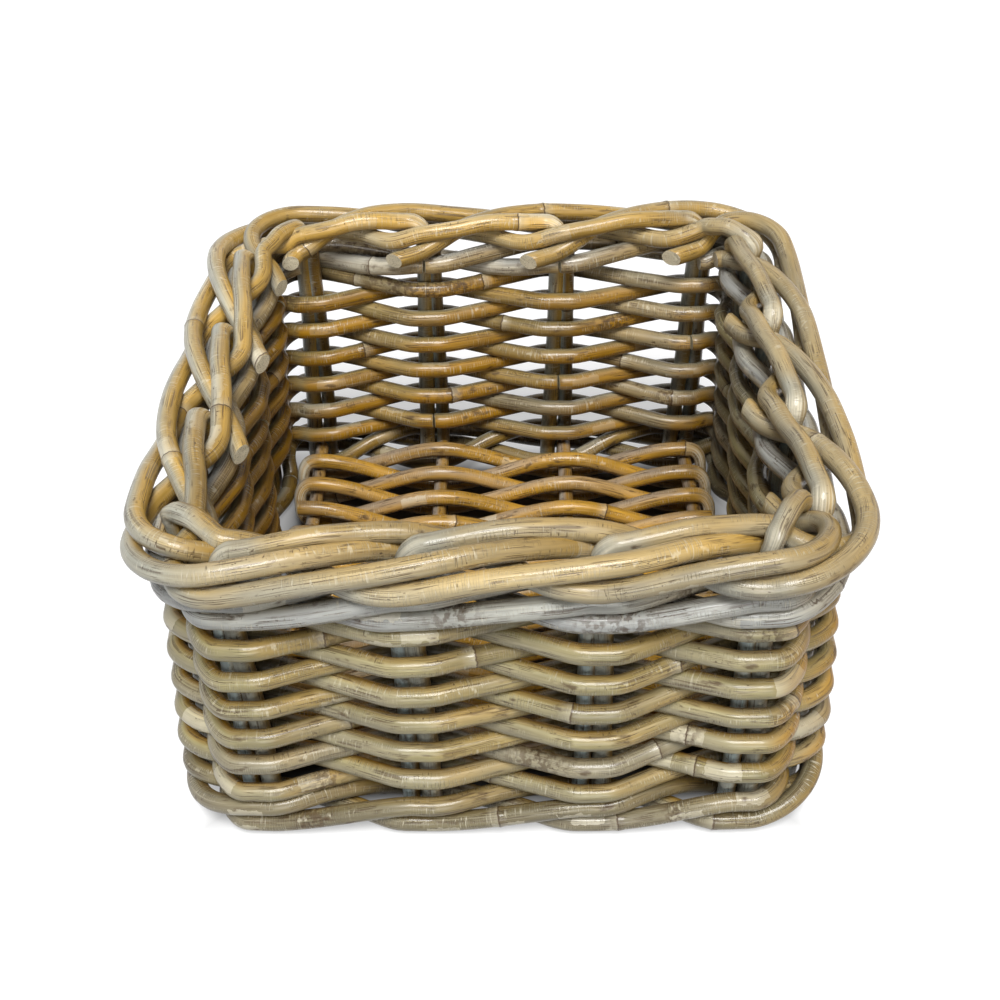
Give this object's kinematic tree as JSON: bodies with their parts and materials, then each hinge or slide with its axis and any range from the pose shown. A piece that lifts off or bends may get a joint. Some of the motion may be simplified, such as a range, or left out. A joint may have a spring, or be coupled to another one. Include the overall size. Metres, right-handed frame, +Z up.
{
  "type": "rattan basket",
  "caption": "Low square open basket woven from thick round rattan rods, with rounded corners, a randed wall between two rounds of wale, a plaited border and a woven base.",
  "frame": {"origin": "middle of the foot, on the surface that the basket stands on", "axes": "+Z up out of the open mouth, +X to the right along the front wall, -Y out of the front wall"},
  "size_m": [0.3492, 0.3412, 0.1953],
  "materials": {
    "border_rattan": "cream-tan rattan cane under a thin satin lacquer, with lengthwise streaks, pale crazing and crushed pale bends",
    "weave_rattan": "khaki-cream rattan cane under a thin satin lacquer, some rods greyer, with lengthwise streaks and dark node rings",
    "wale_rattan": "grey-white rattan cane under a thin satin lacquer, with fine lengthwise cracks and dark node rings",
    "stake_rattan": "grey-green to amber rattan cane under a thin satin lacquer",
    "base_rattan": "amber-brown rattan cane under a thin satin lacquer, with dark patches and pale crushed bends"
  },
  "bodies": {
    "root": {"row_rod_01": "weave_rattan", "row_rod_02": "weave_rattan", "row_rod_03": "weave_rattan", "row_rod_04": "weave_rattan", "row_rod_05": "weave_rattan", "row_rod_06": "weave_rattan", "row_rod_07": "weave_rattan", "row_rod_08": "weave_rattan", "row_rod_09": "weave_rattan", "row_rod_10": "weave_rattan", "row_rod_11": "weave_rattan", "row_rod_12": "weave_rattan", "bottom_wale_rod_1": "wale_rattan", "bottom_wale_rod_2": "wale_rattan", "bottom_wale_rod_3": "wale_rattan", "top_wale_rod_1": "wale_rattan", "top_wale_rod_2": "wale_rattan", "top_wale_rod_3": "wale_rattan", "bypass_stake_front_1": "stake_rattan", "bypass_stake_front_2": "stake_rattan", "bypass_stake_front_3": "stake_rattan", "bypass_stake_front_4": "stake_rattan", "bypass_stake_right_1": "stake_rattan", "bypass_stake_right_2": "stake_rattan", "bypass_stake_right_3": "stake_rattan", "bypass_stake_right_4": "stake_rattan", "bypass_stake_back_1": "stake_rattan", "bypass_stake_back_2": "stake_rattan", "bypass_stake_back_3": "stake_rattan", "bypass_stake_back_4": "stake_rattan", "bypass_stake_left_1": "stake_rattan", "bypass_stake_left_2": "stake_rattan", "bypass_stake_left_3": "stake_rattan", "bypass_stake_left_4": "stake_rattan", "border_stake_front_1": "border_rattan", "border_stake_front_2": "border_rattan", "border_stake_front_3": "border_rattan", "border_stake_front_4": "border_rattan", "border_stake_right_1": "border_rattan", "border_stake_right_2": "border_rattan", "border_stake_right_3": "border_rattan", "border_stake_right_4": "border_rattan", "border_stake_back_1": "border_rattan", "border_stake_back_2": "border_rattan", "border_stake_back_3": "border_rattan", "border_stake_back_4": "border_rattan", "border_stake_left_1": "border_rattan", "border_stake_left_2": "border_rattan", "border_stake_left_3": "border_rattan", "border_stake_left_4": "border_rattan", "base_stick_1": "base_rattan", "base_stick_2": "base_rattan", "base_stick_3": "base_rattan", "base_stick_4": "base_rattan", "base_weaver_1": "base_rattan", "base_weaver_2": "base_rattan", "base_weaver_3": "base_rattan", "base_weaver_4": "base_rattan"}
  },
  "joints": []
}
